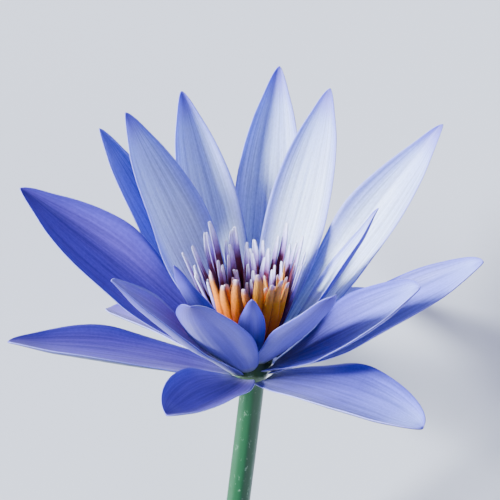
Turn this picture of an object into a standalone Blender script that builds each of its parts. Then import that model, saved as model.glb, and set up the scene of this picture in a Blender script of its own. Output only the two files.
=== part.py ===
"""Blue water lily, one picked flower laid on a table.

Everything is drawn upright first, in the flower's own frame: the receptacle's
axis is +Z, +X is to the right and -Y is the side that ends up on top. Each
petal, sepal and stamen is a tapering sheet that grows out of the receptacle.
The whole flower is then tilted over until its two back sepals and the end of
its bending stem touch the table. Metres, +Z up, origin under the middle.
"""
from collections import namedtuple
from math import cos, pi, radians, sin

import bmesh
import bpy
import numpy as np
from mathutils import Matrix, Vector

MM = 0.001
GAP = 0.3 * MM                  # clearance between a grown piece and its seat

# Lay of the flower
TILT = radians(45.0)            # flower axis above the table
STEM_LEAN = radians(7.0)        # the stem leaves the axis sideways
BACK_SEPAL_SPREAD = 80 * MM     # about how far apart the two back sepals touch down
LEVELLING_STEPS = 8             # small rolls until both of them touch the table

# Stem and receptacle, one grown piece: height on the axis, radius
STEM_RADIUS = 3.0 * MM
STEM_REACH = 98.0 * MM          # along the table, from receptacle to cut end
STEM_STIFF_TOP = 46.0 * MM      # how long the stem keeps its first direction
STEM_STIFF_END = 34.0 * MM      # how long it lies flat before the cut
STEM_DRIFT = 10.0 * MM          # how far to the left the cut end lies
STEM_STEPS = 22
STEM_SIDES = 16
RECEPTACLE = [(-8.0, 3.0), (-6.0, 3.2), (-4.6, 3.9), (-3.0, 4.6), (-1.0, 5.2),
              (1.5, 5.8), (4.0, 6.4), (5.5, 6.7), (6.0, 6.4)]
SEAT_DEPTH = 0.8                # millimetres up the axis that a seat takes

# Pistil: radius and height above the receptacle's top
PISTIL_PROFILE = [(0.0, 0.0), (2.9, 0.0), (3.3, 0.8), (3.4, 1.8), (3.9, 2.8),
                  (4.0, 3.2), (3.4, 3.1), (2.0, 2.3), (1.1, 2.2), (0.7, 3.0), (0.0, 3.2)]
PISTIL_SIDES = 20

# Sheets: lines of points along and across
PETAL_ROWS = 12
PETAL_COLUMNS = 5
PETAL_CUP = radians(30.0)       # slope of a petal's edges at its base
CUP_LOSS = 0.45                 # share of that slope that is gone at the tip
PETAL_CLAW = 0.34               # width at the base as a share of the widest
CLAW_POWER = 0.9                # how the outline swells from the claw
WIDEST = 0.5                    # place of the widest line, as a share of the length
EDGE_THINNING = 0.6             # share of the thickness that is gone at the tip
PETAL_THICKNESS = 1.1 * MM
PETAL_EDGE = 0.35               # edge thickness as a share of the middle
SEPAL_THICKNESS = 1.4 * MM
STAMEN_ROWS = 6
STAMEN_THICKNESS = 0.7 * MM
STAMEN_CLAW = 0.9
STAMEN_POINT = 0.5
BLUNT_TIP = 0.35 * MM           # half width left at every tip
ROLL_SHARE = 0.4                # share of its length over which a sheet rolls from its flat seat

# azimuth from the upper side, rise above the disc, length, width, seat height
# on the axis, arch (base steeper than tip), roll about its own line, tip point
Leaf = namedtuple("Leaf", "name azimuth rise length width seat arch roll point")
SEPALS = [
    Leaf("sepal_front_right", 43, 12.5, 57, 19.5, -4.0, 20, 2, 0.60),
    Leaf("sepal_left", -73, 20, 59, 17.0, -3.8, 10, 0, 0.90),
    Leaf("sepal_back_left", -142, -12, 63, 16.5, -4.0, 24, 0, 0.70),
    Leaf("sepal_back_right", 150, -11, 63, 16.5, -4.0, 24, 0, 0.70),
]
OUTER_PETALS = [
    Leaf("petal_outer_1", -20, 21.5, 50, 16.0, -2.8, 12, -14, 0.65),
    Leaf("petal_outer_2", 74, 36, 66, 17.0, -2.0, -6, 20, 0.65),
    Leaf("petal_outer_3", 112, 50, 71.5, 17.0, 0.4, -8, 14, 0.95),
    Leaf("petal_outer_4", 172, 50, 74.5, 16.5, -1.6, -8, 0, 0.90),
    Leaf("petal_outer_5", -138, 40.5, 70, 14.5, -2.6, -8, -2, 0.90),
    Leaf("petal_outer_6", -105, 38, 67, 18.0, -0.2, -8, -20, 0.95),
]
MIDDLE_PETALS = [
    Leaf("petal_middle_1", -14, 46, 58, 16.0, 0.9, -8, 2, 0.55),
    Leaf("petal_middle_2", 28, 45, 54, 13.5, 3.4, -8, 6, 0.65),
    Leaf("petal_middle_3", 52, 40.5, 61, 17.5, -0.2, -6, 30, 0.60),
    Leaf("petal_middle_4", -41, 48, 60, 15.5, -1.0, -6, -24, 0.80),
    Leaf("petal_middle_5", -158, 52.5, 66.5, 15.5, 0.8, -8, -4, 0.90),
]
INNER_PETALS = [
    Leaf("petal_inner_1", 149, 59, 64.5, 16.0, 3.0, -8, 8, 0.90),
    Leaf("petal_inner_2", -131, 57.5, 62.5, 17.5, 3.4, -8, -8, 0.90),
    Leaf("petal_inner_3", 84, 58, 48, 10.0, 3.8, -8, 4, 0.90),
    Leaf("petal_inner_4", 4, 53, 37, 6.5, 5.0, -6, 0, 0.80),
    Leaf("petal_inner_5", -31, 58, 46, 9.0, 3.8, -8, -6, 0.80),
]

# count, seat radius, length, width, rise, arch of each ring of stamens
Ring = namedtuple("Ring", "count radius length width rise arch")
STAMEN_RINGS = [
    Ring(14, 5.9, 31.0, 2.3, 70, -10),
    Ring(12, 4.9, 25.0, 2.0, 76, -16),
    Ring(10, 3.9, 19.0, 1.7, 82, -24),
]
RING_TOP = 6.0                  # millimetres up the axis, where stamens and pistil stand
RISE_WAVE = 2.0                 # degrees by which the stamens' rise varies round a ring
LENGTH_WAVE = 0.08              # share by which their length varies

# Finishes: name, colour as linear red, green and blue, roughness
FINISHES = [
    ("petal_blue", (0.27, 0.34, 0.74), 0.5),
    ("sepal_violet", (0.16, 0.2, 0.6), 0.5),
    ("stamen_yellow", (0.85, 0.4, 0.05), 0.6),
    ("pistil_gold", (0.75, 0.5, 0.08), 0.6),
    ("stem_green", (0.03, 0.15, 0.05), 0.45),
]


def material(name, colour, roughness):
    """A plain Principled material with one colour."""
    made = bpy.data.materials.new(name)
    made.use_nodes = True
    shader = made.node_tree.nodes["Principled BSDF"]
    shader.inputs["Base Color"].default_value = (*colour, 1.0)
    shader.inputs["Roughness"].default_value = roughness
    shader.inputs["Metallic"].default_value = 0.0
    made.diffuse_color = (*colour, 1.0)
    return made


def add_object(name, shape, finish):
    """Turn a bmesh into one named object with its own material."""
    mesh = bpy.data.meshes.new(name)
    shape.to_mesh(mesh)
    shape.free()
    mesh.materials.append(finish)
    mesh.shade_smooth()
    thing = bpy.data.objects.new(name, mesh)
    bpy.context.scene.collection.objects.link(thing)
    return thing


def receptacle_radius(height):
    """Radius of the receptacle at a height on its axis, both in millimetres."""
    heights, radii = zip(*RECEPTACLE)
    return float(np.interp(height, heights, radii))


def half_width(u, width, claw, point):
    """Half width of a lance-shaped sheet at u, from 0 at its base to 1 at its tip."""
    if u < WIDEST:
        x = (WIDEST - u) / WIDEST
        share = claw + (1 - claw) * (1 - x * x) ** CLAW_POWER
    else:
        x = (u - WIDEST) / (1 - WIDEST)
        share = max(0.0, 1 - x * x) ** point
    return max(0.5 * width * share, BLUNT_TIP)


def line_directions(azimuth, rise):
    """Unit vectors of a sheet at one point: along it, across it and out of its upper face."""
    outward = np.array([sin(azimuth), -cos(azimuth), 0.0])
    across = np.array([cos(azimuth), sin(azimuth), 0.0])
    along = cos(rise) * outward + sin(rise) * np.array([0.0, 0.0, 1.0])
    return along, across, np.cross(along, across)


def sheet(start, azimuth, rise, length, width, arch, roll, cup, claw, point, rows, columns):
    """Grid of points of a cupped sheet that starts at a point and bends as it grows."""
    centre = np.array(start)
    grid = []
    for row in range(rows + 1):
        u = row / rows
        along, across, normal = line_directions(azimuth, rise + arch * (0.5 - u))
        turned = roll * min(1.0, u / ROLL_SHARE)
        side = cos(turned) * across + sin(turned) * normal
        upper = cos(turned) * normal - sin(turned) * across
        half = half_width(u, width, claw, point)
        bend = cup * (1 - CUP_LOSS * u)
        line = []
        for column in range(columns):
            v = 2 * column / (columns - 1) - 1
            if bend:
                x, z = half * sin(bend * v) / sin(bend), half * (1 - cos(bend * v)) / sin(bend)
            else:
                x, z = half * v, 0.0
            line.append(centre + x * side + z * upper)
        grid.append(line)
        middle = rise + arch * (0.5 - u - 0.5 / rows)
        centre = centre + length / rows * line_directions(azimuth, middle)[0]
    return np.array(grid)


def thick_sheet(name, grid, thickness, edge, finish):
    """Mesh a grid of points and give it a thickness that thins towards its edges."""
    rows, columns = grid.shape[:2]
    shape = bmesh.new()
    verts = [[shape.verts.new(point) for point in line] for line in grid]
    for row in range(rows - 1):
        for column in range(columns - 1):
            shape.faces.new((verts[row][column], verts[row][column + 1],
                             verts[row + 1][column + 1], verts[row + 1][column]))
    thing = add_object(name, shape, finish)
    middle = thing.vertex_groups.new(name="middle")
    for index in range(rows * columns):
        row, column = divmod(index, columns)
        v = 2 * column / (columns - 1) - 1
        u = row / (rows - 1)
        middle.add([index], (1 - v * v) * (1 - EDGE_THINNING * u), "REPLACE")
    solid = thing.modifiers.new("thickness", "SOLIDIFY")
    solid.thickness = thickness
    solid.offset = 0.0
    solid.vertex_group = "middle"
    solid.thickness_vertex_group = edge
    return thing


def leaf_grid(leaf, thickness):
    """A petal's or sepal's points, seated just off the receptacle's side."""
    azimuth, rise, arch = radians(leaf.azimuth), radians(leaf.rise), radians(leaf.arch)
    base_rise = rise + arch / 2
    seat = receptacle_radius(leaf.seat + SEAT_DEPTH) * MM + GAP + 0.5 * thickness * abs(sin(base_rise))
    start = (seat * sin(azimuth), -seat * cos(azimuth), leaf.seat * MM)
    return sheet(start, azimuth, rise, leaf.length * MM, leaf.width * MM, arch, radians(leaf.roll),
                 PETAL_CUP, PETAL_CLAW, leaf.point, PETAL_ROWS, PETAL_COLUMNS)


def make_leaves(leaves, thickness, finish):
    """All the petals or sepals of one whorl."""
    return [thick_sheet(leaf.name, leaf_grid(leaf, thickness), thickness, PETAL_EDGE, finish)
            for leaf in leaves]


def make_stamens(finish):
    """Rings of narrow straps that stand on the receptacle's top around the pistil."""
    made = []
    for number, ring in enumerate(STAMEN_RINGS, start=1):
        for index in range(ring.count):
            azimuth = 2 * pi * (index + 0.5 * (number % 2)) / ring.count
            rise = radians(ring.rise + RISE_WAVE * sin(5 * azimuth))
            length = ring.length * (1 + LENGTH_WAVE * sin(3 * azimuth + 2 * number)) * MM
            start = (ring.radius * MM * sin(azimuth), -ring.radius * MM * cos(azimuth),
                     RING_TOP * MM + GAP + 0.5 * STAMEN_THICKNESS * cos(rise))
            grid = sheet(start, azimuth, rise, length, ring.width * MM, radians(ring.arch), 0.0,
                         0.0, STAMEN_CLAW, STAMEN_POINT, STAMEN_ROWS, 2)
            name = f"stamen_{number}_{index + 1:02d}"
            made.append(thick_sheet(name, grid, STAMEN_THICKNESS, 1.0, finish))
    return made


def make_pistil(finish):
    """Stigma disc on its short neck: a profile spun round the axis."""
    shape = bmesh.new()
    top = RING_TOP * MM + GAP
    points = [shape.verts.new((r * MM, 0.0, top + h * MM)) for r, h in PISTIL_PROFILE]
    edges = [shape.edges.new(pair) for pair in zip(points, points[1:])]
    bmesh.ops.spin(shape, geom=points + edges, cent=(0, 0, 0), axis=(0, 0, 1),
                   angle=2 * pi, steps=PISTIL_SIDES, use_duplicate=False)
    bmesh.ops.remove_doubles(shape, verts=shape.verts, dist=0.01 * MM)
    bmesh.ops.recalc_face_normals(shape, faces=shape.faces)
    return add_object("pistil", shape, finish)


def stem_line(tilt_over, table):
    """Centre points and radii of the stem, from the receptacle's top to the cut end."""
    axis = tilt_over @ Vector((0, 0, 1))
    lean = tilt_over @ Matrix.Rotation(STEM_LEAN, 3, "Y")
    down = lean @ Vector((0, 0, -1))
    heights, radii = zip(*RECEPTACLE)
    line = [(axis * height * MM, radius * MM) for height, radius in zip(heights, radii)][::-1]
    top = line[-1][0]
    foot = Vector((top.x - STEM_DRIFT, top.y - STEM_REACH, table + STEM_RADIUS))
    hold = top + down * STEM_STIFF_TOP
    flat = foot + Vector((0, STEM_STIFF_END, 0))
    for step in range(1, STEM_STEPS + 1):
        t = step / STEM_STEPS
        spot = ((1 - t) ** 3 * top + 3 * t * (1 - t) ** 2 * hold
                + 3 * t * t * (1 - t) * flat + t ** 3 * foot)
        line.append((spot, STEM_RADIUS))
    return line


def make_stem(tilt_over, table, finish):
    """Sweep a ring of points down the stem's line and close both ends."""
    line = stem_line(tilt_over, table)
    shape = bmesh.new()
    across = tilt_over @ Vector((1, 0, 0))
    rings = []
    for index, (centre, radius) in enumerate(line):
        before = line[max(index - 1, 0)][0]
        after = line[min(index + 1, len(line) - 1)][0]
        along = (after - before).normalized()
        across = (across - along * across.dot(along)).normalized()
        other = along.cross(across)
        turns = [2 * pi * side / STEM_SIDES for side in range(STEM_SIDES)]
        rings.append([shape.verts.new(centre + radius * (cos(a) * across + sin(a) * other))
                      for a in turns])
    for upper, lower in zip(rings, rings[1:]):
        for side in range(STEM_SIDES):
            after = (side + 1) % STEM_SIDES
            shape.faces.new((upper[side], upper[after], lower[after], lower[side]))
    shape.faces.new(rings[0])
    shape.faces.new(rings[-1])
    bmesh.ops.recalc_face_normals(shape, faces=shape.faces)
    return add_object("stem", shape, finish)


def lowest(points, turn):
    """Lowest height of a set of points after a turn."""
    return float((points @ np.array(turn).T)[:, 2].min())


def lay_over():
    """Turn that tips the flower over and levels its two back sepals on the table."""
    tip_over = Matrix.Rotation(TILT - pi / 2, 3, "X")
    back = [leaf_grid(leaf, SEPAL_THICKNESS).reshape(-1, 3) for leaf in SEPALS[2:]]
    roll = 0.0
    for _ in range(LEVELLING_STEPS):
        turn = Matrix.Rotation(roll, 3, "Y") @ tip_over
        left, right = (lowest(points, turn) for points in back)
        roll += (right - left) / BACK_SEPAL_SPREAD
    return Matrix.Rotation(roll, 3, "Y") @ tip_over, min(left, right)


def set_on_table(things):
    """Move everything so that it stands on z = 0 with the origin under its middle."""
    bpy.context.view_layer.update()
    depsgraph = bpy.context.evaluated_depsgraph_get()
    corners = []
    for thing in things:
        evaluated = thing.evaluated_get(depsgraph)
        corners += [evaluated.matrix_world @ vert.co for vert in evaluated.data.vertices]
    low = np.min(corners, axis=0)
    high = np.max(corners, axis=0)
    shift = Vector((-(low[0] + high[0]) / 2, -(low[1] + high[1]) / 2, -low[2]))
    for thing in things:
        thing.matrix_world = Matrix.Translation(shift) @ thing.matrix_world


def main():
    for thing in list(bpy.data.objects):
        bpy.data.objects.remove(thing, do_unlink=True)
    blue, violet, yellow, gold, green = (material(*finish) for finish in FINISHES)
    turn, low = lay_over()
    grown = make_leaves(SEPALS, SEPAL_THICKNESS, violet)
    grown += make_leaves(OUTER_PETALS + MIDDLE_PETALS + INNER_PETALS, PETAL_THICKNESS, blue)
    grown += make_stamens(yellow)
    grown.append(make_pistil(gold))
    for thing in grown:
        thing.matrix_world = turn.to_4x4()
    table = low - 0.5 * SEPAL_THICKNESS * PETAL_EDGE
    set_on_table(grown + [make_stem(turn, table, green)])


main()
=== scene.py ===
# %% [markdown]
# # A blue water lily, picked and laid down
# The flower has grown pieces that are all thin and curved: four sepals, sixteen petals, a crowd of
# stamens round a stigma disc, and a bending stem with its cut end. The construction model already
# holds the place, size and bend of each one as a plain solid. This lesson grows the real surfaces
# along those solids, so every piece is measured from the frame before it is made.

# %% Load the frame
from math import cos, pi, radians, sin

import bmesh
import bpy
import numpy as np
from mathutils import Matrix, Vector


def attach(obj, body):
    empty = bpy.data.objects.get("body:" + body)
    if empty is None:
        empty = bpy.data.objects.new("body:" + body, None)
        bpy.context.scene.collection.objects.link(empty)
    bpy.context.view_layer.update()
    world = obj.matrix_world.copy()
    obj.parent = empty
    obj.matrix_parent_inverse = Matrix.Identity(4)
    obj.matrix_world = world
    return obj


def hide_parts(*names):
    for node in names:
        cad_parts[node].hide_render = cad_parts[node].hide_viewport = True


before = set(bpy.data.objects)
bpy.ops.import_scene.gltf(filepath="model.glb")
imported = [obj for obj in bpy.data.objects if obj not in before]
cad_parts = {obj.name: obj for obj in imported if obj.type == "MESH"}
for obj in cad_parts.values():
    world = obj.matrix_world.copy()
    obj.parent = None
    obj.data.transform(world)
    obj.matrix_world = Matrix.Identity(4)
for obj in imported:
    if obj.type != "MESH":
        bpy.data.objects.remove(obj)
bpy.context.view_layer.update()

MM = 0.001
nodes = sorted(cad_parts)
petal_nodes = [name for name in nodes if name.startswith("petal")]
sepal_nodes = [name for name in nodes if name.startswith("sepal")]
stamen_nodes = [name for name in nodes if name.startswith("stamen")]
print(len(petal_nodes), "petals,", len(sepal_nodes), "sepals,", len(stamen_nodes), "stamens")

# %% [markdown]
# ## Where the flower looks
# Everything in a flower is set round one axis, so that comes first. The heart is the middle of the
# pistil's solid. The axis runs from there to the mean of the stamens' tips, because the stamens
# stand all round it and their leans cancel out.

# %% Find the heart and the axis
SAME_POINT = 0.02 * MM          # corners nearer than this are one corner


def merged_points(node):
    """A node's corner points, each one once."""
    shape = bmesh.new()
    shape.from_mesh(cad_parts[node].data)
    bmesh.ops.remove_doubles(shape, verts=shape.verts, dist=SAME_POINT)
    points = np.array([vert.co for vert in shape.verts])
    shape.free()
    return points


HEART = merged_points("pistil").mean(axis=0)
stamen_tips = []
for name in stamen_nodes:
    points = merged_points(name)
    stamen_tips.append(points[np.argmax(np.linalg.norm(points - HEART, axis=1))])
AXIS = np.mean(stamen_tips, axis=0) - HEART
AXIS /= np.linalg.norm(AXIS)
print("heart of the flower at", HEART.round(4), "and its axis", AXIS.round(3))

# %% [markdown]
# ## Reading a leaf back from its solid
# Each petal's solid is a net of rows across it, thirteen of them, and each row has five points on
# the upper face with five below. Sorted along the petal the points fall into those rows again, and
# the mean of each pair is a point of the petal's middle surface. A stamen's solid is the same with
# seven rows of two points.

# %% Measure the rows of points in every sheet
PETAL_NET = (13, 5)
STAMEN_NET = (7, 2)


def net_of(node, size):
    """The middle surface of a sheet-like node, as rows of points from its base to its tip."""
    rows, columns = size
    points = merged_points(node)
    tip = points[np.argmax(np.linalg.norm(points - HEART, axis=1))]
    base = points[np.argmax(np.linalg.norm(points - tip, axis=1))]
    order = np.argsort((points - base) @ (tip - base))
    across = None
    net = []
    for row in points[order].reshape(rows, 2 * columns, 3):
        centred = row - row.mean(axis=0)
        if len(net) < rows - 1:
            found = np.linalg.svd(centred)[2][0]
            across = found if across is None or found @ across > 0 else -found
        ranked = row[np.argsort(centred @ across)]
        net.append(ranked.reshape(columns, 2, 3).mean(axis=1))
    net = np.array(net)
    along = net[-1].mean(axis=0) - net[0].mean(axis=0)
    if np.cross(across, along) @ AXIS < 0:
        net = net[:, ::-1]
    return net


nets = {name: net_of(name, PETAL_NET) for name in petal_nodes + sepal_nodes}
nets.update({name: net_of(name, STAMEN_NET) for name in stamen_nodes})
longest = max(petal_nodes, key=lambda name: np.linalg.norm(nets[name][-1, 2] - nets[name][0, 2]))
print(len(nets), "nets; the longest petal is", longest)

# %% [markdown]
# ## A smooth surface through the net
# Thirteen rows are too few for a petal's outline, so a smooth curve is read through them, as a
# draughtsman bends a batten through marks. A straight reading would leave corners, and a curve that
# only comes near the marks would shrink the petal away from the solid that collides.

# %% Read a finer surface
TIP_HALF_WIDTH = 0.12 * MM
TIP_POWERS = (0.5, 0.68)        # 0.5 closes the tip like a circle, more makes it pointed
TIP_CROWDING = 1.6              # rows stand closer towards the tip, where the outline turns most


def spline(values, where):
    """Values read smoothly between stations: a Catmull-Rom curve through all of them."""
    padded = np.concatenate([2 * values[:1] - values[1:2], values, 2 * values[-1:] - values[-2:-1]])
    first = np.clip(np.floor(where).astype(int), 0, len(values) - 2)
    f = (where - first).reshape(-1, *[1] * (values.ndim - 1))
    a, b, c, d = (padded[first + step] for step in range(4))
    return 0.5 * (2 * b + (c - a) * f + (2 * a - 5 * b + 4 * c - d) * f ** 2
                  + (3 * b - a - 3 * c + d) * f ** 3)


def leaf_surface(net, columns, rows):
    """A leaf's middle surface read finer: its points, inner normals, half widths and stations.

    Near the tip a half width falls as a power of the length that is left, so the power between
    the last two full rows is carried on to a rounded or a pointed tip.
    """
    last = len(net) - 1
    v = 1 - (1 - np.linspace(0, 1, rows + 1)) ** TIP_CROWDING
    centre = net[:, net.shape[1] // 2]
    half = 0.5 * np.linalg.norm(net[:, -1] - net[:, 0], axis=1)
    power = np.clip(np.log2(half[last - 2] / half[last - 1]), *TIP_POWERS)
    fullness = half[:-1] / (1 - np.arange(last) / last) ** power
    fullness = np.append(fullness, fullness[-1])
    section = (net - centre[:, None]) / half[:, None, None]
    section[-1] = section[-2]
    where = v * last
    line = spline(centre, where)
    width = spline(fullness, where) * (1 - v) ** power
    width = np.maximum(width, TIP_HALF_WIDTH)
    fine = spline(section, where).transpose(1, 0, 2)
    fine = spline(fine, np.linspace(0, net.shape[1] - 1, columns + 1)).transpose(1, 0, 2)
    normal = np.cross(fine[:, -1] - fine[:, 0], np.gradient(line, v, axis=0))
    normal /= np.linalg.norm(normal, axis=1, keepdims=True)
    return line[:, None] + fine * width[:, None, None], normal, width, v


widest = leaf_surface(nets[longest], 4, 40)[2].max()
print(longest, "is", round(2 * widest / MM, 1), "mm wide at its widest")

# %% [markdown]
# ## Colour
# Colours are written as the hex values that a painter would pick from a chart, and one function
# turns them into the linear light values that shaders mix. One more function adds a shader node, so
# that each material below reads as a list of what it is made of.

# %% Helpers for colours and nodes
def linear(code, alpha=1.0):
    """An sRGB hex colour as linear red, green and blue."""
    parts = [int(code[i:i + 2], 16) / 255 for i in (1, 3, 5)]
    return (*[c / 12.92 if c <= 0.04045 else ((c + 0.055) / 1.055) ** 2.4 for c in parts], alpha)


def add_node(tree, kind, inputs=None, stops=(), **settings):
    """Add a shader node with its settings, its colour stops, and links or values for its inputs."""
    node = tree.nodes.new(kind)
    for key, value in settings.items():
        if hasattr(node, key):
            setattr(node, key, value)
        else:
            node.inputs[key.replace("_", " ")].default_value = value
    for socket, source in (inputs or {}).items():
        if isinstance(source, bpy.types.NodeSocket):
            tree.links.new(source, node.inputs[socket])
        else:
            node.inputs[socket].default_value = source
    while stops and len(node.color_ramp.elements) < len(stops):
        node.color_ramp.elements.new(0.5)
    for element, (place, colour) in zip(node.color_ramp.elements if stops else (), stops):
        element.position = place
        element.color = linear(colour)
    return node


def new_material(name, roughness, **sockets):
    """A Principled material, its shader and its node tree."""
    made = bpy.data.materials.new(name)
    made.use_nodes = True
    tree = made.node_tree
    shader = tree.nodes["Principled BSDF"]
    shader.inputs["Roughness"].default_value = roughness
    for key, value in sockets.items():
        shader.inputs[key.replace("_", " ")].default_value = value
    return made, tree, shader


print("middle grey is", round(linear("#808080")[0], 3), "in linear light")

# %% [markdown]
# ## Petal tissue
# A water lily's petal is silky rather than glossy: thin, full of air, with fine veins that run from
# its claw to its point. To the eye it is a soft sheen with faint streaks and no hard highlight.
# Light goes into it and comes out close by, so some subsurface softens its shadows, and the palest
# petals have the most of it. Clear transmission would show the petals behind. The pattern has to
# follow the petal, so it reads the petal's own UV map: U runs across it and V from base to tip.

# %% Petal tissue, one function for every face
# each pattern's repeats across and along a petal, which is about 16 mm wide and 65 mm long
VEINS_ACROSS_ALONG = (26.0, 2.2, 1.0)      # veins 0.6 mm apart, drawn out lengthways
CLOUDS_ACROSS_ALONG = (7.0, 9.0, 1.0)      # soft patches 2 mm by 7 mm
GRAIN_ACROSS_ALONG = (42.0, 70.0, 1.0)     # clumps 0.4 mm by 1 mm, far coarser than real cells
VEIN_CONTRAST = (0.35, 0.70)
VEIN_LIGHTER = 0.5              # how much veins lighten, as a share of how much they darken
CLOUD_STRENGTH = (0.88, 1.10)
GRAIN_CONTRAST = (0.3, 0.7)
GRAIN_STRENGTH = (0.86, 1.08)
MARGIN_FROM = 0.62              # share of the half width where the margin's tint begins
MARGIN_MOST = 0.8
PETAL_SCATTER = 1.4 * MM
VEIN_RELIEF = 0.12 * MM


def petal_tissue(name, stops, margin, vein_depth, glow=0.12):
    """Silky petal tissue: colour along its length, a margin tint and fine lengthwise veins."""
    made, tree, shader = new_material(name, 0.48, Subsurface_Weight=glow, IOR=1.38,
                                      Sheen_Weight=0.08, Sheen_Roughness=0.4)
    shader.inputs["Subsurface Radius"].default_value = (0.5, 0.6, 1.0)
    shader.inputs["Subsurface Scale"].default_value = PETAL_SCATTER
    uv = add_node(tree, "ShaderNodeUVMap", uv_map="UVMap").outputs["UV"]
    split = add_node(tree, "ShaderNodeSeparateXYZ", {"Vector": uv})
    along = add_node(tree, "ShaderNodeValToRGB", {"Fac": split.outputs["Y"]}, stops)

    # distance from the midline, 0 there and 1 at both edges, tints the margin
    centred = add_node(tree, "ShaderNodeMath", {0: split.outputs["X"], 1: 0.5},
                       operation="SUBTRACT")
    spread = add_node(tree, "ShaderNodeMath", {0: centred.outputs[0]}, operation="ABSOLUTE")
    doubled = add_node(tree, "ShaderNodeMath", {0: spread.outputs[0], 1: 2.0},
                       operation="MULTIPLY")
    edge = add_node(tree, "ShaderNodeMapRange", {"Value": doubled.outputs[0]},
                    From_Min=MARGIN_FROM, From_Max=1.0, To_Max=MARGIN_MOST)
    edged = add_node(tree, "ShaderNodeMix", {"Factor": edge.outputs["Result"],
                                             "A": along.outputs["Color"],
                                             "B": linear(margin)}, data_type="RGBA")

    # veins, clouds and grain each lighten and darken the colour, and are multiplied together
    stretch = add_node(tree, "ShaderNodeMapping", {"Vector": uv, "Scale": VEINS_ACROSS_ALONG})
    veins = add_node(tree, "ShaderNodeTexNoise", {"Vector": stretch.outputs["Vector"]},
                     Scale=1.0, Detail=4.0, Roughness=0.55)
    vein_shade = add_node(tree, "ShaderNodeMapRange", {"Value": veins.outputs["Fac"]},
                          From_Min=VEIN_CONTRAST[0], From_Max=VEIN_CONTRAST[1],
                          To_Min=1.0 - vein_depth, To_Max=1.0 + VEIN_LIGHTER * vein_depth)
    blotch = add_node(tree, "ShaderNodeMapping", {"Vector": uv, "Scale": CLOUDS_ACROSS_ALONG})
    clouds = add_node(tree, "ShaderNodeTexNoise", {"Vector": blotch.outputs["Vector"]},
                      Scale=1.0, Detail=6.0, Roughness=0.65)
    cloud_shade = add_node(tree, "ShaderNodeMapRange", {"Value": clouds.outputs["Fac"]},
                           To_Min=CLOUD_STRENGTH[0], To_Max=CLOUD_STRENGTH[1])
    fine = add_node(tree, "ShaderNodeMapping", {"Vector": uv, "Scale": GRAIN_ACROSS_ALONG})
    grain = add_node(tree, "ShaderNodeTexNoise", {"Vector": fine.outputs["Vector"]},
                     Scale=1.0, Detail=2.0, Roughness=0.6)
    grain_shade = add_node(tree, "ShaderNodeMapRange", {"Value": grain.outputs["Fac"]},
                           From_Min=GRAIN_CONTRAST[0], From_Max=GRAIN_CONTRAST[1],
                           To_Min=GRAIN_STRENGTH[0], To_Max=GRAIN_STRENGTH[1])
    clouded = add_node(tree, "ShaderNodeMath", {0: grain_shade.outputs["Result"],
                                                1: cloud_shade.outputs["Result"]},
                       operation="MULTIPLY")
    both = add_node(tree, "ShaderNodeMath", {0: vein_shade.outputs["Result"],
                                             1: clouded.outputs[0]}, operation="MULTIPLY")
    shaded = add_node(tree, "ShaderNodeVectorMath", {0: edged.outputs["Result"],
                                                     "Scale": both.outputs[0]}, operation="SCALE")
    tree.links.new(shaded.outputs["Vector"], shader.inputs["Base Color"])

    # the veins stand up a little, which breaks the sheen into fine lines
    bump = add_node(tree, "ShaderNodeBump", {"Height": veins.outputs["Fac"]},
                    Strength=0.35, Distance=VEIN_RELIEF)
    tree.links.new(bump.outputs["Normal"], shader.inputs["Normal"])
    return made


print("veins", round(16 / VEINS_ACROSS_ALONG[0], 2), "mm apart on a 16 mm petal")

# %% [markdown]
# ## Four light levels painted into the petals
# The inner faces come in four copies of one tissue, which paint light and shade into the colour.
# The pale one, nearly white with violet tips, is for petals in the sun. The middle, dusky and deep
# ones are painted shade, from periwinkle to violet, for petals that stand in their own shadow; the
# dusky one is darkest over its lower half and lightens towards its tip. The outside of every petal
# is plain violet-blue with a green claw, and a sepal's underside is leaf green that turns violet at
# its tip. The rim is pale lilac, partly the thin edge's own paler colour and partly a painted
# highlight where an edge catches the light.

# %% Petal materials
# painted light and shade: one copy of the petal tissue for each light level
PAINTED_LIGHT_LEVELS = {
    "pale": [(0.0, "#f2f5ff"), (0.25, "#dce6ff"), (0.6, "#cedbff"), (0.86, "#b2c0fb"),
             (0.95, "#8480de"), (1.0, "#4c3fb0")],
    "middle": [(0.0, "#b0b4f4"), (0.2, "#7c82e0"), (0.6, "#757de4"), (0.88, "#8c98f0"),
               (1.0, "#6f72de")],
    "dusky": [(0.0, "#8e88dc"), (0.2, "#6a62c6"), (0.55, "#5e5abc"), (0.80, "#7276d2"),
              (0.95, "#909aec"), (1.0, "#7a7ce0")],
    "deep": [(0.0, "#9c8ce6"), (0.2, "#7458c0"), (0.6, "#6850bc"), (0.88, "#5c46b2"),
             (1.0, "#482e96")],
}
# the margin tint deepens with each level of painted shade
MARGINS = {"pale": "#6a68d8", "middle": "#5d5acb", "dusky": "#5550c4", "deep": "#4a3fac"}
GLOW = {"pale": 0.5, "middle": 0.3, "dusky": 0.1, "deep": 0.15}
UPPER_VEINS = 0.34              # how much the veins darken each kind of face
OUTER_VEINS = 0.16
UNDER_VEINS = 0.2
RIM_VEINS = 0.05
OUTER_FACE = [(0.0, "#a3b494"), (0.10, "#7a76cc"), (0.5, "#655fc8"), (0.85, "#5f56c4"),
              (1.0, "#48389e")]
UNDER_FACE = [(0.0, "#4f7a3c"), (0.4, "#5b8450"), (0.8, "#5c6c96"), (1.0, "#4f47a0")]
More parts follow.
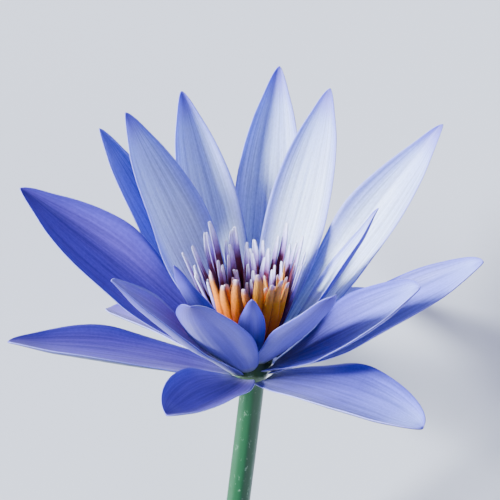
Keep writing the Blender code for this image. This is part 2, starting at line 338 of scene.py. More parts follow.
# painted highlight: the rim is pale lilac all round, partly the thin edge's own paler colour
RIM_PAINTED_HIGHLIGHT = [(0.0, "#a9abf0"), (0.9, "#9493ea"), (1.0, "#6f66cc")]
upper_tissues_lit_and_shaded = {}
for shade, stops in PAINTED_LIGHT_LEVELS.items():
    upper_tissues_lit_and_shaded[shade] = petal_tissue("petal_silk_painted_light_" + shade, stops, MARGINS[shade],
                                        UPPER_VEINS, GLOW[shade])
petal_outside = petal_tissue("petal_outer_face_violet_blue", OUTER_FACE, "#4f4ab8", OUTER_VEINS)
sepal_outside = petal_tissue("sepal_under_face_green", UNDER_FACE, "#4a449a", UNDER_VEINS)
petal_rim_painted_highlight = petal_tissue("petal_rim_lilac_painted_highlight", RIM_PAINTED_HIGHLIGHT, "#9493ea", RIM_VEINS)
print("petal tissues:", *[made.name for made in upper_tissues_lit_and_shaded.values()], petal_outside.name)

# %% [markdown]
# ## Working a flat sheet
# Petals, stamens and the stem all start as a flat grid, the way a paper petal starts as a sheet.
# The grid is laid over measured points, and Solidify then gives it two faces. Modelling both faces
# by hand would let them drift apart, while a thickness painted on one sheet can't. An operator acts
# on all that is selected, so a helper selects one thing and nothing else.

# %% Helpers for sheets
def select_only(thing):
    """Make one object the only selected and active one."""
    bpy.ops.object.select_all(action="DESELECT")
    thing.select_set(True)
    bpy.context.view_layer.objects.active = thing


def apply_modifiers(thing):
    """Apply every modifier of an object, first to last."""
    select_only(thing)
    for modifier in list(thing.modifiers):
        bpy.ops.object.modifier_apply(modifier=modifier.name)


def flat_grid(name, columns, rows):
    """A flat grid of faces with a UV map, its points listed row by row as fractions."""
    bpy.ops.object.select_all(action="DESELECT")
    bpy.ops.mesh.primitive_grid_add(x_subdivisions=columns, y_subdivisions=rows, size=1.0)
    thing = bpy.context.object
    thing.name = name
    thing.data.name = name
    flat = np.array([vert.co for vert in thing.data.vertices])
    return thing, flat[:, 0] + 0.5, flat[:, 1] + 0.5


def lay_on(thing, places):
    """Move every point of a mesh to its place."""
    thing.data.vertices.foreach_set("co", places.astype(np.float32).ravel())
    thing.data.update()


def thicken(thing, group_name, weights, thickness, thin_share, rim_slot):
    """Give a sheet two faces, full thickness apart where a point's weight is 1."""
    group = thing.vertex_groups.new(name=group_name)
    for index, weight in enumerate(weights):
        group.add([index], float(weight), "REPLACE")
    solid = thing.modifiers.new("two faces", "SOLIDIFY")
    solid.thickness = thickness
    solid.offset = 0.0
    solid.vertex_group = group_name
    solid.thickness_vertex_group = thin_share
    solid.material_offset = 1
    solid.material_offset_rim = rim_slot


PETAL_GRID = (28, 72)
print("a petal starts as", PETAL_GRID[0], "by", PETAL_GRID[1], "faces")

# %% [markdown]
# ## What the plain solid lacks
# A real petal is boat-shaped, with its edges lifted. It has a sunk midrib, shallow pleats along the
# veins, a waver at its margins and a tip that hooks inwards, and some petals fold one edge over.
# All of these are small heights along the petal's inner normal, so they can be added together. All
# but the hook are shares of the half width, so a narrow petal isn't creased as deeply as a broad one.

# %% Relief of a leaf
BOAT_DEPTH = 0.20
BOAT_RISES = (0.2, 0.6)         # shares of the length between which it comes in
MIDRIB_DEPTH = 0.02
MIDRIB_WIDTH = 0.08
PLEAT_DEPTH = 0.006
PLEATS = 4.5                    # on each side of the midrib
WAVER_DEPTH = 0.045
WAVERS = 1.6                    # waves along a margin
HOOK = 0.8 * MM
HOOK_FROM = 0.8
FOLD_LINE = 0.25                # share of the half width that stays flat
FOLD_POWER = 1.5
FOLD_RISES = (0.3, 0.65)
# which edge folds in, 1 or -1, and how deep
FOLDS = {"petal_outer_6": (1, 0.9), "petal_middle_5": (-1, 0.5), "petal_inner_2": (-1, 0.4),
         "petal_outer_5": (-1, 0.6), "petal_outer_4": (-1, 0.4), "petal_outer_3": (-1, 0.3)}


def smooth_step(low, high, value):
    """0 below low, 1 above high and a smooth rise between."""
    share = np.clip((value - low) / (high - low), 0, 1)
    return share * share * (3 - 2 * share)


def leaf_relief(node, s, v, half, phase):
    """Heights over a leaf's middle surface, s across from -1 to 1 and v along from 0 to 1."""
    fold_side, fold_depth = FOLDS.get(node, (1, 0.0))
    boat = BOAT_DEPTH * half * s ** 4 * smooth_step(*BOAT_RISES, v)
    midrib = -MIDRIB_DEPTH * half * np.exp(-(s / MIDRIB_WIDTH) ** 2) * (1 - v)
    pleats = PLEAT_DEPTH * half * np.cos(2 * pi * PLEATS * s) * np.sin(pi * v) * (1 - s ** 2)
    swing = np.sin(2 * pi * (WAVERS * v + phase) + s)
    waver = WAVER_DEPTH * half * s ** 2 * swing * np.sin(pi * v) ** 2
    hook = HOOK * smooth_step(HOOK_FROM, 1.0, v)
    turned_in = np.clip(fold_side * s - FOLD_LINE, 0, 1) ** FOLD_POWER
    fold = fold_depth * half * turned_in * smooth_step(*FOLD_RISES, v)
    return boat + fold + midrib + pleats + waver + hook


print(len(FOLDS), "petals fold an edge in")

# %% [markdown]
# ## Sixteen petals and four sepals
# Every leaf is grown by the same steps. Its rows stand closer towards the tip, so its UV map is
# moved with them and the pattern isn't stretched there. It is thick along the midrib and thin as
# paper at its edges, with one tissue inside, one outside and a third on the rim.

# %% Grow the petals and sepals
PETAL_THICKNESS = 0.85 * MM
SEPAL_THICKNESS = 1.1 * MM
EDGE_SHARE = 0.22               # thickness at the edges as a share of the midrib's
TIP_THINS = 0.6
PHASE_STEP = 0.37               # no two neighbours waver alike
# painted shade: the petals listed here lie in shadow and take a darker tissue; all others take the
# pale one, for sunlit petals
PAINTED_LIGHT_LEVEL_OF = {"petal_outer_1": "deep", "petal_outer_2": "dusky", "petal_outer_5": "middle",
            "petal_outer_6": "deep",
            "petal_middle_1": "deep", "petal_middle_2": "middle", "petal_middle_3": "dusky",
            "petal_middle_4": "deep", "petal_inner_4": "deep",
            "sepal_left": "deep", "sepal_back_left": "deep", "sepal_back_right": "middle",
            "sepal_front_right": "dusky"}


def grow_leaf(node, inside, outside, thickness, phase):
    """One petal or sepal over its solid's net."""
    columns, rows = PETAL_GRID
    surface, normals, widths, stations = leaf_surface(nets[node], columns, rows)
    thing, u, t = flat_grid(node + "_tissue", columns, rows)
    row = np.rint(t * rows).astype(int)
    column = np.rint(u * columns).astype(int)
    s = 2 * u - 1
    v = stations[row]
    height = leaf_relief(node, s, v, widths[row], phase)[:, None]
    lay_on(thing, surface[row, column] + height * normals[row])
    for corner in thing.data.uv_layers[0].data:
        corner.uv.y = stations[round(corner.uv.y * rows)]
    for tissue in (inside, outside, petal_rim_painted_highlight):
        thing.data.materials.append(tissue)
    weights = (1 - s ** 2) * (1 - TIP_THINS * v)
    thicken(thing, "midrib", weights, thickness, EDGE_SHARE, 2)
    apply_modifiers(thing)
    select_only(thing)
    bpy.ops.object.shade_smooth()
    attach(thing, "root")
    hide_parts(node)
    return thing


leaves = []
for number, node in enumerate(petal_nodes + sepal_nodes):
    tissue = upper_tissues_lit_and_shaded[PAINTED_LIGHT_LEVEL_OF.get(node, "pale")]
    phase = PHASE_STEP * number
    if node in sepal_nodes:
        leaves.append(grow_leaf(node, tissue, sepal_outside, SEPAL_THICKNESS, phase))
    else:
        leaves.append(grow_leaf(node, tissue, petal_outside, PETAL_THICKNESS, phase))
print(len(leaves), "leaves,", sum(len(leaf.data.polygons) for leaf in leaves), "faces")

# %% [markdown]
# ## Stamen tissue
# A stamen is matt and dusty where it carries pollen and smooth where it doesn't. To the eye that is
# a deep maroon foot, darkened further with painted shade down in the crowd, an orange or yellow
# length with a coarse grain, and a pale lilac tip. Its edges carry painted shade and its ridge a
# painted highlight, which keeps the straps of the crowd apart from each other.

# %% Stamen tissue, one function for every face
# repeats across and along a strap 2 mm wide and 25 mm long: clumps of pollen 0.3 mm by 1 mm
POLLEN_ACROSS_ALONG = (7.0, 26.0, 1.0)
POLLEN_STRENGTH = (0.5, 1.6)
RIDGE_TO_EDGE = (0.15, 0.48)    # distances from the midline, out of 0.5
RIDGE_PAINTED_HIGHLIGHT = 1.1
STRAP_SCATTER = 0.5 * MM
POLLEN_RELIEF = 0.3 * MM


def strap_tissue(name, stops, roughness, edge_painted_shade):
    """Stamen tissue: colour along its length, a grain, and painted edge shade and ridge highlight."""
    made, tree, shader = new_material(name, roughness, Subsurface_Weight=0.1, IOR=1.4)
    shader.inputs["Subsurface Radius"].default_value = (1.0, 0.6, 0.4)
    shader.inputs["Subsurface Scale"].default_value = STRAP_SCATTER
    uv = add_node(tree, "ShaderNodeUVMap", uv_map="UVMap").outputs["UV"]
    split = add_node(tree, "ShaderNodeSeparateXYZ", {"Vector": uv})
    along = add_node(tree, "ShaderNodeValToRGB", {"Fac": split.outputs["Y"]}, stops)
    stretch = add_node(tree, "ShaderNodeMapping", {"Vector": uv, "Scale": POLLEN_ACROSS_ALONG})
    grain = add_node(tree, "ShaderNodeTexNoise", {"Vector": stretch.outputs["Vector"]},
                     Scale=1.0, Detail=3.0, Roughness=0.6)
    strength = add_node(tree, "ShaderNodeMapRange", {"Value": grain.outputs["Fac"]},
                        To_Min=POLLEN_STRENGTH[0], To_Max=POLLEN_STRENGTH[1])
    # painted shade darkens the strap towards its edges and a painted highlight lightens its ridge
    centred = add_node(tree, "ShaderNodeMath", {0: split.outputs["X"], 1: 0.5},
                       operation="SUBTRACT")
    spread = add_node(tree, "ShaderNodeMath", {0: centred.outputs[0]}, operation="ABSOLUTE")
    edge = add_node(tree, "ShaderNodeMapRange", {"Value": spread.outputs[0]},
                    From_Min=RIDGE_TO_EDGE[0], From_Max=RIDGE_TO_EDGE[1],
                    To_Min=RIDGE_PAINTED_HIGHLIGHT, To_Max=edge_painted_shade)
    both = add_node(tree, "ShaderNodeMath", {0: strength.outputs["Result"],
                                             1: edge.outputs["Result"]}, operation="MULTIPLY")
    shaded = add_node(tree, "ShaderNodeVectorMath", {0: along.outputs["Color"],
                                                     "Scale": both.outputs[0]}, operation="SCALE")
    tree.links.new(shaded.outputs["Vector"], shader.inputs["Base Color"])
    bump = add_node(tree, "ShaderNodeBump", {"Height": grain.outputs["Fac"]},
                    Strength=0.7, Distance=POLLEN_RELIEF)
    tree.links.new(bump.outputs["Normal"], shader.inputs["Normal"])
    return made


print("pollen clumps", round(2 / POLLEN_ACROSS_ALONG[0], 2), "mm wide on a 2 mm strap")

# %% [markdown]
# ## Five stamen finishes
# The stamens at the front show ripe pollen, and those behind show mostly maroon and lilac. The
# pollen is orange on the left of the flower and a lighter yellow on its right, a painted highlight.
# Each kind has a back, which faces the petals, and a darker face towards the disc, partly its own
# maroon and partly painted shade from the crowd.

# %% Stamen materials
DUSTY = 0.6                     # roughness of pollen and of bare tissue
BARE = 0.5
YELLOW_BACK_PAINTED_HIGHLIGHT = [(0.0, "#5a0c10"), (0.12, "#b83a06"), (0.35, "#ff7a04"), (0.70, "#ffa00a"),
             (0.92, "#fbac48"), (0.99, "#e6c4d0")]
ORANGE_BACK = [(0.0, "#4c0810"), (0.16, "#942406"), (0.40, "#da5204"), (0.72, "#f28406"),
              (0.92, "#ea9040"), (0.99, "#e6c4d0")]
POLLEN_FACE_PAINTED_SHADE = [(0.0, "#3c0410"), (0.25, "#7c1a0c"), (0.45, "#cc5406"), (0.68, "#f08a0a"),
               (0.90, "#eea050"), (0.99, "#e6c4d0")]
VIOLET_BACK = [(0.0, "#2c0410"), (0.3, "#4c0c26"), (0.56, "#5e2258"), (0.74, "#9a84d4"),
               (0.88, "#c6c0f2"), (1.0, "#dcdafa")]
VIOLET_FACE_PAINTED_SHADE = [(0.0, "#24020a"), (0.50, "#4c0616"), (0.68, "#5c1034"), (0.80, "#9a7cc4"),
               (0.90, "#cac4f2"), (1.0, "#e4e2fb")]
# the yellow back is a painted highlight, and both darker faces are partly painted shade
yellow_back_painted_highlight = strap_tissue("stamen_back_yellow_pollen_painted_highlight", YELLOW_BACK_PAINTED_HIGHLIGHT, DUSTY, 0.45)
orange_back = strap_tissue("stamen_back_orange_pollen", ORANGE_BACK, DUSTY, 0.35)
pollen_face_painted_shade = strap_tissue("stamen_face_orange_pollen_painted_shade", POLLEN_FACE_PAINTED_SHADE, DUSTY, 0.35)
violet_back = strap_tissue("stamen_back_violet", VIOLET_BACK, BARE, 0.7)
violet_face_painted_shade = strap_tissue("stamen_face_maroon_painted_shade", VIOLET_FACE_PAINTED_SHADE, BARE, 0.7)
print("stamen tissues:", yellow_back_painted_highlight.name, orange_back.name, violet_back.name)

# %% [markdown]
# ## One stamen
# A water lily's stamens are flat straps, not threads. The pollen sacs swell the lower strap, and
# above them it narrows to a finger. The strap's width along its length is a short list of stations
# read smoothly, because a natural outline has no arcs in it. Straps that all stood straight would
# look like a fence, so each one leans, nods and waves by its own small draw.

# %% Shape of a stamen
STRAP_GRID = (4, 22)
POLLEN_WIDTH = np.array([0.5, 0.72, 0.95, 1.05, 1.1, 1.12, 1.08, 0.98, 0.82, 0.62, 0.30])
FINGER_WIDTH = np.array([0.5, 0.75, 0.9, 0.95, 0.92, 0.86, 0.78, 0.72, 0.66, 0.56, 0.30])
SWAY = 0.9                      # millimetres at the tip, for one standard deviation
WAVE = 0.35
CHANNEL = 0.4                   # how much the edges turn up, as a share of the half width
SACS_AT = 0.34                  # middle of the pollen sacs along the strap
SACS_SPREAD = 0.28
BARE_WEIGHT = 0.25              # weight of the strap where it has no sacs
SAC_WEIGHT = 0.75
STRAP_THICKNESS = 0.85 * MM
STRAP_EDGE_SHARE = 0.25
sway = np.random.default_rng(11)


def grow_stamen(name, net, width, reach, outline, materials):
    """One strap along a stamen's middle line, with its width, its reach and a small sway."""
    columns, rows = STRAP_GRID
    centre = net.mean(axis=1)
    centre = centre[0] + (centre - centre[0]) * reach
    across = net[:, -1] - net[:, 0]
    across /= np.linalg.norm(across, axis=1, keepdims=True)
    stations = np.linspace(0, len(net) - 1, rows + 1)
    line = spline(centre, stations)
    side = spline(across, stations)
    share = np.linspace(0, 1, rows + 1)[:, None]
    normal = np.cross(side, np.gradient(line, axis=0))
    normal /= np.linalg.norm(normal, axis=1, keepdims=True)
    lean, nod, wave = sway.normal(0, 1, 3)
    line = line + MM * share ** 2 * (SWAY * lean * side + SWAY * nod * normal)
    line = line + MM * WAVE * wave * np.sin(2 * pi * share) * share * side
    thing, u, v = flat_grid(name, columns, rows)
    s = 2 * u - 1
    row = np.rint(v * rows).astype(int)
    half = 0.5 * width * spline(outline, v * (len(outline) - 1))
    channel = CHANNEL * half * s ** 2
    lay_on(thing, line[row] + side[row] * (half * s)[:, None] + normal[row] * channel[:, None])
    for tissue in materials:
        thing.data.materials.append(tissue)
    sacs = np.exp(-((v - SACS_AT) / SACS_SPREAD) ** 4)
    weights = BARE_WEIGHT + SAC_WEIGHT * sacs * (1 - 0.5 * s ** 2)
    thicken(thing, "sacs", weights, STRAP_THICKNESS, STRAP_EDGE_SHARE, 1)
    smooth = thing.modifiers.new("soft edges", "SUBSURF")
    smooth.levels = smooth.render_levels = 1
    apply_modifiers(thing)
    select_only(thing)
    bpy.ops.object.shade_smooth()
    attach(thing, "root")
    return thing


print("a strap starts as", STRAP_GRID[0], "by", STRAP_GRID[1], "faces")

# %% [markdown]
# ## The crowd of stamens
# Each solid stamen gets one strap that stands for it. The solids are fewer than the stamens of a
# real flower, so narrower straps fill the gaps: one in a gap of the golden front and two in a gap
# of the violet back. They are for the eye only, with no collision and no weight. Many of them cut
# through a neighbour, which shows in a close-up as tips that merge.

# %% Grow the stamens
FRONT = np.array([0.0, -1.0, 0.0]) - AXIS * -AXIS[1]
FRONT /= np.linalg.norm(FRONT)
GOLDEN_FROM = (0.6, 0.0, -0.8)  # how far to the front each ring turns golden, outermost first
GOLDEN_WIDER = 1.35
VIOLET_WIDER = 1.2
REACH = 0.84                    # a strap's length as a share of its solid's
REACH_WAVE = 0.07               # violet tips rise and fall by this much round a ring
REACH_TURN = 4.0
GOLDEN_GAPS = (0.5,)            # places of the extra straps in a gap
VIOLET_GAPS = (0.33, 0.67)
BETWEEN_SHORTER = 0.04
BETWEEN_SPREAD = 0.12
GOLDEN_BETWEEN = 0.95           # width of an extra strap as a share of its neighbour's
VIOLET_BETWEEN = 0.75
rings = sorted({name[:-3] for name in stamen_nodes})
grown = 0
for ring_number, ring in enumerate(rings):
    members = [name for name in stamen_nodes if name.startswith(ring)]
    for number, node in enumerate(members):
        following = nets[members[(number + 1) % len(members)]]
        width = np.linalg.norm(nets[node][3, -1] - nets[node][3, 0])
        outward = nets[node][-1].mean(axis=0) - HEART
        outward -= AXIS * (outward @ AXIS)
        golden = outward @ FRONT / np.linalg.norm(outward) > GOLDEN_FROM[ring_number]
        # stamens on the flower's right take the yellow back, a painted highlight
        pollen_back = orange_back if outward[0] < 0 else yellow_back_painted_highlight
        tissues = (pollen_face_painted_shade, pollen_back) if golden else (violet_face_painted_shade, violet_back)
        outline = POLLEN_WIDTH if golden else FINGER_WIDTH
        reach = REACH if golden else REACH + REACH_WAVE * sin(REACH_TURN * number)
        width *= GOLDEN_WIDER if golden else VIOLET_WIDER
        strap = grow_stamen(node + "_strap", nets[node], width, reach, outline, tissues)
        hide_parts(node)
        grown += 1
        narrower = width * (GOLDEN_BETWEEN if golden else VIOLET_BETWEEN)
        for share in GOLDEN_GAPS if golden else VIOLET_GAPS:
            between = (1 - share) * nets[node] + share * following
            shorter = reach - BETWEEN_SHORTER - BETWEEN_SPREAD * sway.random()
            grow_stamen(f"{node}_between_{100 * share:.0f}", between, narrower, shorter,
                        outline, tissues)
            grown += 1
print(grown, "stamens in", len(rings), "rings")

# %% [markdown]
# ## The stigma disc
# At the heart of the crowd the pistil ends in a shallow dish with rays like a wheel's spokes and a
# small knob in its middle. It is a turned shape, so it starts as a circle that is extruded and
# scaled up its outline. Its radius and height are measured from the pistil's solid.

# %% Turn the stigma disc
# radius as a share of the disc's, and height as a share of the pistil's
DISC_OUTLINE = [(0.72, 0.0), (0.80, 0.25), (0.86, 0.55), (0.97, 0.86), (1.0, 0.97), (0.95, 1.0),
                (0.86, 0.96), (0.60, 0.80), (0.36, 0.70), (0.26, 0.76), (0.20, 0.92), (0.10, 0.99)]
RAYS = 16
DISC_SIDES = RAYS * 6
pistil_points = merged_points("pistil")
heights = (pistil_points - HEART) @ AXIS
radii = np.linalg.norm(pistil_points - HEART - heights[:, None] * AXIS, axis=1)
neck_low = heights.min()
tall = heights.max() - neck_low
disc_radius = radii.max()
bpy.ops.object.select_all(action="DESELECT")
bpy.ops.mesh.primitive_circle_add(vertices=DISC_SIDES, radius=DISC_OUTLINE[0][0] * disc_radius,
                                  fill_type="NGON")
disc = bpy.context.object
disc.name = "stigma_disc"
bpy.ops.object.mode_set(mode="EDIT")
bpy.ops.mesh.select_all(action="SELECT")
for (inner, low_share), (outer, high_share) in zip(DISC_OUTLINE, DISC_OUTLINE[1:]):
    rise = (0, 0, (high_share - low_share) * tall)
    bpy.ops.mesh.extrude_region_move(TRANSFORM_OT_translate={"value": rise})
    bpy.ops.transform.resize(value=(outer / inner, outer / inner, 1))
bpy.ops.mesh.poke()
bpy.ops.mesh.select_all(action="SELECT")
bpy.ops.mesh.normals_make_consistent(inside=False)
bpy.ops.object.mode_set(mode="OBJECT")
print("stigma disc", round(disc_radius * 2000, 1), "mm across")

# %% [markdown]
# ## Its rays and its place
# The rays are raised while the dish still lies round the world's upright axis, where an angle is
# easy to read. Only then is the disc turned to the flower's axis and set on its neck.

# %% Raise the rays and set the disc
RAY_HEIGHT = 0.16 * MM
DISH_FROM = 0.6                 # the dish is above this share of the height
KNOB_EDGE = 0.25                # and outside this share of the radius
RAYS_FROM = 0.2                 # the rays rise from here outwards


def turned_to(thing, towards):
    """A mesh's points, made round the world's Z, turned so that Z points along an axis."""
    turn = Vector((0, 0, 1)).rotation_difference(Vector(towards)).to_matrix()
    return np.array([vert.co for vert in thing.data.vertices]) @ np.array(turn).T


points = np.array([vert.co for vert in disc.data.vertices])
turn_round = np.arctan2(points[:, 1], points[:, 0])
share = np.hypot(points[:, 0], points[:, 1]) / disc_radius
on_dish = (points[:, 2] > DISH_FROM * tall) & (share > KNOB_EDGE)
rays = RAY_HEIGHT * np.cos(RAYS * turn_round) * np.clip(share - RAYS_FROM, 0, 1)
points[:, 2] += np.where(on_dish, rays, 0)
lay_on(disc, points)
lay_on(disc, turned_to(disc, AXIS) + HEART + AXIS * neck_low)
select_only(disc)
bpy.ops.object.shade_smooth()
print(int(on_dish.sum()), "points of the dish carry", RAYS, "rays")

# %% [markdown]
# ## Its tissue
# The disc is moist and waxy, so it shines more than the stamens round it. A fine mottle of ochre
# and gold keeps that shine from looking like plastic. The mottle has patches about 1 mm wide.

# %% Stigma disc tissue
DISC_MOTTLE = 900.0             # noise cells to a metre
DISC_TINTS = [(0.35, "#b8741c"), (0.5, "#dca32e"), (0.65, "#e8c65a")]
DISC_SCATTER = 0.6 * MM
FINE_RELIEF = 0.1 * MM
disc_tissue, tree, shader = new_material("stigma_disc_golden_wax", 0.42,
                                         Subsurface_Weight=0.15, IOR=1.4)
shader.inputs["Subsurface Radius"].default_value = (1.0, 0.6, 0.3)
shader.inputs["Subsurface Scale"].default_value = DISC_SCATTER
place = add_node(tree, "ShaderNodeTexCoord")
mottle = add_node(tree, "ShaderNodeTexNoise", {"Vector": place.outputs["Object"]},
                  Scale=DISC_MOTTLE, Detail=3.0)
tint = add_node(tree, "ShaderNodeValToRGB", {"Fac": mottle.outputs["Fac"]}, DISC_TINTS)
tree.links.new(tint.outputs["Color"], shader.inputs["Base Color"])
bump = add_node(tree, "ShaderNodeBump", {"Height": mottle.outputs["Fac"]},
                Strength=0.4, Distance=FINE_RELIEF)
tree.links.new(bump.outputs["Normal"], shader.inputs["Normal"])
disc.data.materials.append(disc_tissue)
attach(disc, "root")
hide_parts("pistil")
print("disc finished with", len(disc.data.polygons), "faces in", disc_tissue.name)

# %% [markdown]
# ## The stem's line
# The stem's solid is a row of sixteen-sided rings, from the cut end up to the receptacle. Starting
# at the cut end, the nearest sixteen points along the way the stem is heading are its next ring.
# Each ring gives one point of the stem's middle line and one radius.

# %% Measure the stem's rings
RING_SIDES = 16
left = merged_points("stem")
start = left[np.argsort(left[:, 1])[:RING_SIDES]]
stem_rings = []
heading = np.array([0.0, 1.0, 0.0])
centre = start.mean(axis=0)
while len(left):
    near = np.argsort((left - centre) @ heading)[:RING_SIDES]
    ring = left[near]
    left = np.delete(left, near, axis=0)
    if stem_rings:
        heading = ring.mean(axis=0) - centre
        heading /= np.linalg.norm(heading)
    centre = ring.mean(axis=0)
    stem_rings.append((centre, np.linalg.norm(ring - centre, axis=1).mean()))
stem_centres = np.array([ring[0] for ring in stem_rings])
stem_radii = np.array([ring[1] for ring in stem_rings])
stem_length = np.linalg.norm(np.diff(stem_centres, axis=0), axis=1).sum()
print(len(stem_rings), "rings over", round(stem_length * 1000), "mm of stem")

# %% [markdown]
# ## The stem's skin
# A sheet rolled round that line and closed along its seam makes the smooth tube, with a UV map that
# runs round and along it. It takes the measured radius of each ring directly, which a circle swept
# at one size would not. Shallow ridges keep the tube from looking turned on a lathe.

# %% Roll a sheet round the line
STEM_GRID = (40, 150)
FINE_RIDGES = (9, 0.012)        # how many go round, and their height as a share of the radius
BROAD_RIDGES = (4, 0.008)
RIDGE_TWIST = 9                 # radians by which the broad ridges turn along the stem
columns, rows = STEM_GRID
stations = np.linspace(0, len(stem_centres) - 1, rows + 1)
line = spline(stem_centres, stations)
radius = spline(stem_radii, stations)
along = np.gradient(line, axis=0)
along /= np.linalg.norm(along, axis=1, keepdims=True)
side = np.array([1.0, 0.0, 0.0])
sides = []
for direction in along:
    side = side - direction * (side @ direction)
    side /= np.linalg.norm(side)
    sides.append(side)
sides = np.array(sides)
others = np.cross(along, sides)
stem, u, v = flat_grid("stem_skin", columns, rows)
turn = 2 * pi * u
row = np.rint(v * rows).astype(int)
fine_ridge = FINE_RIDGES[1] * np.cos(FINE_RIDGES[0] * turn)
broad_ridge = BROAD_RIDGES[1] * np.cos(BROAD_RIDGES[0] * turn + RIDGE_TWIST * v)
ridged = radius[row] * (1 + fine_ridge + broad_ridge)
ring_way = np.cos(turn)[:, None] * sides[row] + np.sin(turn)[:, None] * others[row]
lay_on(stem, line[row] + ring_way * ridged[:, None])
print("stem skin rolled, cut end", round(2 * radius[0] / MM, 1), "mm thick")

# %% [markdown]
# ## Closing the tube
# The sheet's two long edges meet, so their points are merged. The only open edges left are the two
# ends, and each is filled with one face.

# %% Close the seam and the ends
select_only(stem)
bpy.ops.object.mode_set(mode="EDIT")
bpy.ops.mesh.select_all(action="SELECT")
bpy.ops.mesh.remove_doubles(threshold=SAME_POINT)
bpy.ops.mesh.select_all(action="DESELECT")
bpy.ops.mesh.select_mode(type="EDGE")
bpy.ops.mesh.select_non_manifold()
bpy.ops.mesh.edge_face_add()
bpy.ops.mesh.select_all(action="SELECT")
bpy.ops.mesh.normals_make_consistent(inside=False)
bpy.ops.mesh.select_mode(type="VERT")
bpy.ops.object.mode_set(mode="OBJECT")
print("stem skin has", len(stem.data.polygons), "faces,",
      sum(len(face.vertices) > 4 for face in stem.data.polygons), "of them ends")

# %% [markdown]
# ## Air canals
# A water lily's stem floats because air canals run through it, and a cut shows them: four wide ones
# round the middle and a ring of narrow ones under the skin. They are real holes cut with cylinders,
# because painted dots would stay flat when the cut end is seen from the side.

# %% Cut the air canals
# how many, then their ring's radius and their own as shares of the stem's radius
CANALS = ((4, 0.36, 0.23), (10, 0.76, 0.09))
CANAL_SIDES = 14
CUTTER_LENGTH = 12 * MM         # centred on the cut, so the canals are half as deep
CREASE = radians(40)            # edges sharper than this stay sharp
cutters = []
for count, ring_radius, canal_radius in CANALS:
    for number in range(count):
        angle = 2 * pi * (number + 0.5) / count
        spot = line[0] + radius[0] * ring_radius * (cos(angle) * sides[0] + sin(angle) * others[0])
        bpy.ops.object.select_all(action="DESELECT")
        bpy.ops.mesh.primitive_cylinder_add(
            vertices=CANAL_SIDES, radius=canal_radius * radius[0], depth=CUTTER_LENGTH,
            location=spot, rotation=Vector(along[0]).to_track_quat("Z", "Y").to_euler())
        cutters.append(bpy.context.object)
for cutter in cutters:
    cutter.select_set(True)
bpy.ops.object.join()
cutter = bpy.context.object
cut = stem.modifiers.new("air canals", "BOOLEAN")
cut.operation = "DIFFERENCE"
cut.object = cutter
apply_modifiers(stem)
bpy.data.objects.remove(cutter)
select_only(stem)
bpy.ops.object.shade_smooth_by_angle(angle=CREASE)
print(len(cutters), "canals cut", round(CUTTER_LENGTH / 2 / MM), "mm deep")

# %% [markdown]
# ## Skin and pith
# The skin is waxy, which gives a soft highlight along the dark green stem, and pale flecks about
# 1 mm by 2 mm break it up. It pales to yellow-green under the flower. The cut shows pith: matt,
# pale and spongy, with cells drawn 0.4 mm wide, coarser than they are, so that they show.

# %% Stem skin and pith
FLECKS_ROUND_ALONG = (14.0, 60.0, 1.0)
FLECK_CONTRAST = (0.60, 0.74)
SKIN_TINTS = [(0.0, "#2c5f36"), (0.5, "#1c4d2c"), (0.8, "#1c4d2c"), (0.90, "#416a34"),
              (0.97, "#8a9a54")]
FLECK_COLOUR = "#7fa884"
PITH_CELLS = 2600.0             # cells to a metre
PITH_TINTS = [(0.0, "#dfe6bd"), (0.6, "#bcc98c"), (1.0, "#93a866")]
STEM_SCATTER = 0.5 * MM
stem_skin, tree, shader = new_material("stem_waxy_green_skin", 0.38, IOR=1.42,
                                       Subsurface_Weight=0.05)
shader.inputs["Subsurface Scale"].default_value = STEM_SCATTER
uv = add_node(tree, "ShaderNodeUVMap", uv_map="UVMap").outputs["UV"]
split = add_node(tree, "ShaderNodeSeparateXYZ", {"Vector": uv})
base = add_node(tree, "ShaderNodeValToRGB", {"Fac": split.outputs["Y"]}, SKIN_TINTS)
stretch = add_node(tree, "ShaderNodeMapping", {"Vector": uv, "Scale": FLECKS_ROUND_ALONG})
flecks = add_node(tree, "ShaderNodeTexNoise", {"Vector": stretch.outputs["Vector"]},
                  Scale=1.0, Detail=4.0, Roughness=0.7)
fleck_share = add_node(tree, "ShaderNodeMapRange", {"Value": flecks.outputs["Fac"]},
                       From_Min=FLECK_CONTRAST[0], From_Max=FLECK_CONTRAST[1])
mixed = add_node(tree, "ShaderNodeMix", {"Factor": fleck_share.outputs["Result"],
                                         "A": base.outputs["Color"],
                                         "B": linear(FLECK_COLOUR)}, data_type="RGBA")
tree.links.new(mixed.outputs["Result"], shader.inputs["Base Color"])
bump = add_node(tree, "ShaderNodeBump", {"Height": flecks.outputs["Fac"]},
                Strength=0.3, Distance=FINE_RELIEF)
tree.links.new(bump.outputs["Normal"], shader.inputs["Normal"])

pith, tree, shader = new_material("stem_spongy_pith", 0.7, Subsurface_Weight=0.1)
shader.inputs["Subsurface Scale"].default_value = STEM_SCATTER
place = add_node(tree, "ShaderNodeTexCoord")
cells = add_node(tree, "ShaderNodeTexVoronoi", {"Vector": place.outputs["Object"]},
                 Scale=PITH_CELLS)
tint = add_node(tree, "ShaderNodeValToRGB", {"Fac": cells.outputs["Distance"]}, PITH_TINTS)
tree.links.new(tint.outputs["Color"], shader.inputs["Base Color"])
print("stem materials:", stem_skin.name, pith.name)

# %% [markdown]
# ## Which faces are pith
# Pith is what the cut laid bare: the end face and the walls of the canals. Those are the faces near
# the cut that lie inside the skin, so their distance from the stem's line tells them apart.

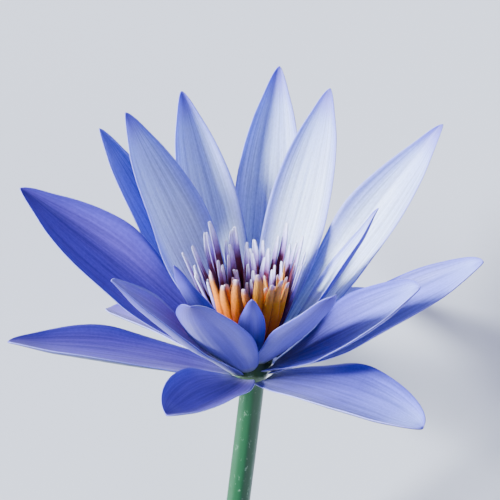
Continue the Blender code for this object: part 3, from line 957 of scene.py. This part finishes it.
# %% Give each face its material
PITH_DEPTH = 7 * MM             # a little deeper than the canals
SKIN_FROM = 0.93                # share of the radius outside which a face is skin
stem.data.materials.clear()
stem.data.materials.append(stem_skin)
stem.data.materials.append(pith)
for face in stem.data.polygons:
    offset = np.array(face.center) - line[0]
    depth = offset @ along[0]
    from_axis = np.linalg.norm(offset - depth * along[0])
    face.material_index = int(depth < PITH_DEPTH and from_axis < SKIN_FROM * radius[0])
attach(stem, "root")
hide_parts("stem")
print("stem finished with", len(stem.data.polygons), "faces")

# %% [markdown]
# ## The table and the camera
# The flower lies on a plain pale table, which shows its shadow and adds no colour of its own. The
# camera looks down at the lying flower along the line that shows the open cup from its front. A
# long lens from 0.6 m keeps the near petals from looking larger than the far ones.

# %% Table and camera
CAMERA_ELEVATION = radians(75.0)
CAMERA_DISTANCE = 0.60
CAMERA_LENS = 174.0
CAMERA_CLIP = 0.01
AIM_RISE = 20.2 * MM            # the camera aims above the heart
TABLE_SIZE = 80.0               # so wide that its edge is the horizon
bpy.ops.object.select_all(action="DESELECT")
bpy.ops.mesh.primitive_plane_add(size=TABLE_SIZE, location=(0, 0, 0))
floor = bpy.context.object
floor.name = "table"
floor_paint, tree, shader = new_material("pale_matt_table", 0.9)
shader.inputs["Base Color"].default_value = linear("#cac9c7")
floor.data.materials.append(floor_paint)

toward_camera = Vector((0.0, -cos(CAMERA_ELEVATION), sin(CAMERA_ELEVATION)))
view_up = Vector((0.0, sin(CAMERA_ELEVATION), cos(CAMERA_ELEVATION)))
aim = Vector(HEART) + view_up * AIM_RISE
camera_data = bpy.data.cameras.new("camera")
camera_data.lens = CAMERA_LENS
camera_data.clip_start = CAMERA_CLIP
camera = bpy.data.objects.new("camera", camera_data)
bpy.context.scene.collection.objects.link(camera)
camera.location = aim + toward_camera * CAMERA_DISTANCE
camera.rotation_mode = "QUATERNION"
camera.rotation_quaternion = (-toward_camera).to_track_quat("-Z", "Y")
bpy.context.scene.camera = camera
print("camera", CAMERA_DISTANCE, "m from", [round(value, 3) for value in aim])

# %% [markdown]
# ## The light
# A soft sun stands low on the left, so the petals on the right are lit nearly white and those on
# the left stay blue, deepened further by the painted shade in their tissues. A broad bluish lamp at
# the right front fills the shadows a little.
# The sun's disc is wide, because a sharp one would draw hard-edged shadows of the stamens.

# %% Lamps
SUN_WAY = Vector((-0.87, 0.12, 0.47)).normalized()
SUN_POWER = 18.0
SUN_WIDTH = radians(16.0)
FILL_WAY = Vector((0.7, -0.45, 0.7)).normalized()
FILL_DISTANCE = 1.4
FILL_SIZE = 1.2
FILL_POWER = 12.0


def hang_lamp(lamp, way, distance, power, colour):
    """Hang a lamp some way off the heart of the flower, looking at it."""
    lamp.energy = power
    lamp.color = linear(colour)[:3]
    thing = bpy.data.objects.new(lamp.name, lamp)
    bpy.context.scene.collection.objects.link(thing)
    thing.location = Vector(HEART) + way * distance
    thing.rotation_mode = "QUATERNION"
    thing.rotation_quaternion = (-way).to_track_quat("-Z", "Y")


sun = bpy.data.lights.new("key", "SUN")
sun.angle = SUN_WIDTH
hang_lamp(sun, SUN_WAY, 1.0, SUN_POWER, "#e6f1ff")
fill = bpy.data.lights.new("fill", "AREA")
fill.size = FILL_SIZE
hang_lamp(fill, FILL_WAY, FILL_DISTANCE, FILL_POWER, "#cfdcff")
print("sun", SUN_POWER, "and fill", FILL_POWER)

# %% [markdown]
# ## The room
# The rest of the light comes from the room: pale walls round the table, and above them a darker,
# bluish ceiling. A ceiling as pale as the walls would fill every shadow and flatten the flower.

# %% Room
WALL_TOP = 0.10                 # heights on a ball round the flower, where 1 is straight up
CEILING = 0.35
ROOM_TINTS = [(0.0, "#e4e6ec"), (WALL_TOP, "#dcdeea"), (CEILING, "#6a6796")]
ROOM_STRENGTH = 1.5
world = bpy.data.worlds.new("room")
world.use_nodes = True
tree = world.node_tree
way = add_node(tree, "ShaderNodeTexCoord")
height = add_node(tree, "ShaderNodeSeparateXYZ", {"Vector": way.outputs["Generated"]})
room_tint = add_node(tree, "ShaderNodeValToRGB", {"Fac": height.outputs["Z"]}, ROOM_TINTS)
tree.links.new(room_tint.outputs["Color"], tree.nodes["Background"].inputs["Color"])
tree.nodes["Background"].inputs["Strength"].default_value = ROOM_STRENGTH
bpy.context.scene.world = world
print("room of strength", ROOM_STRENGTH)
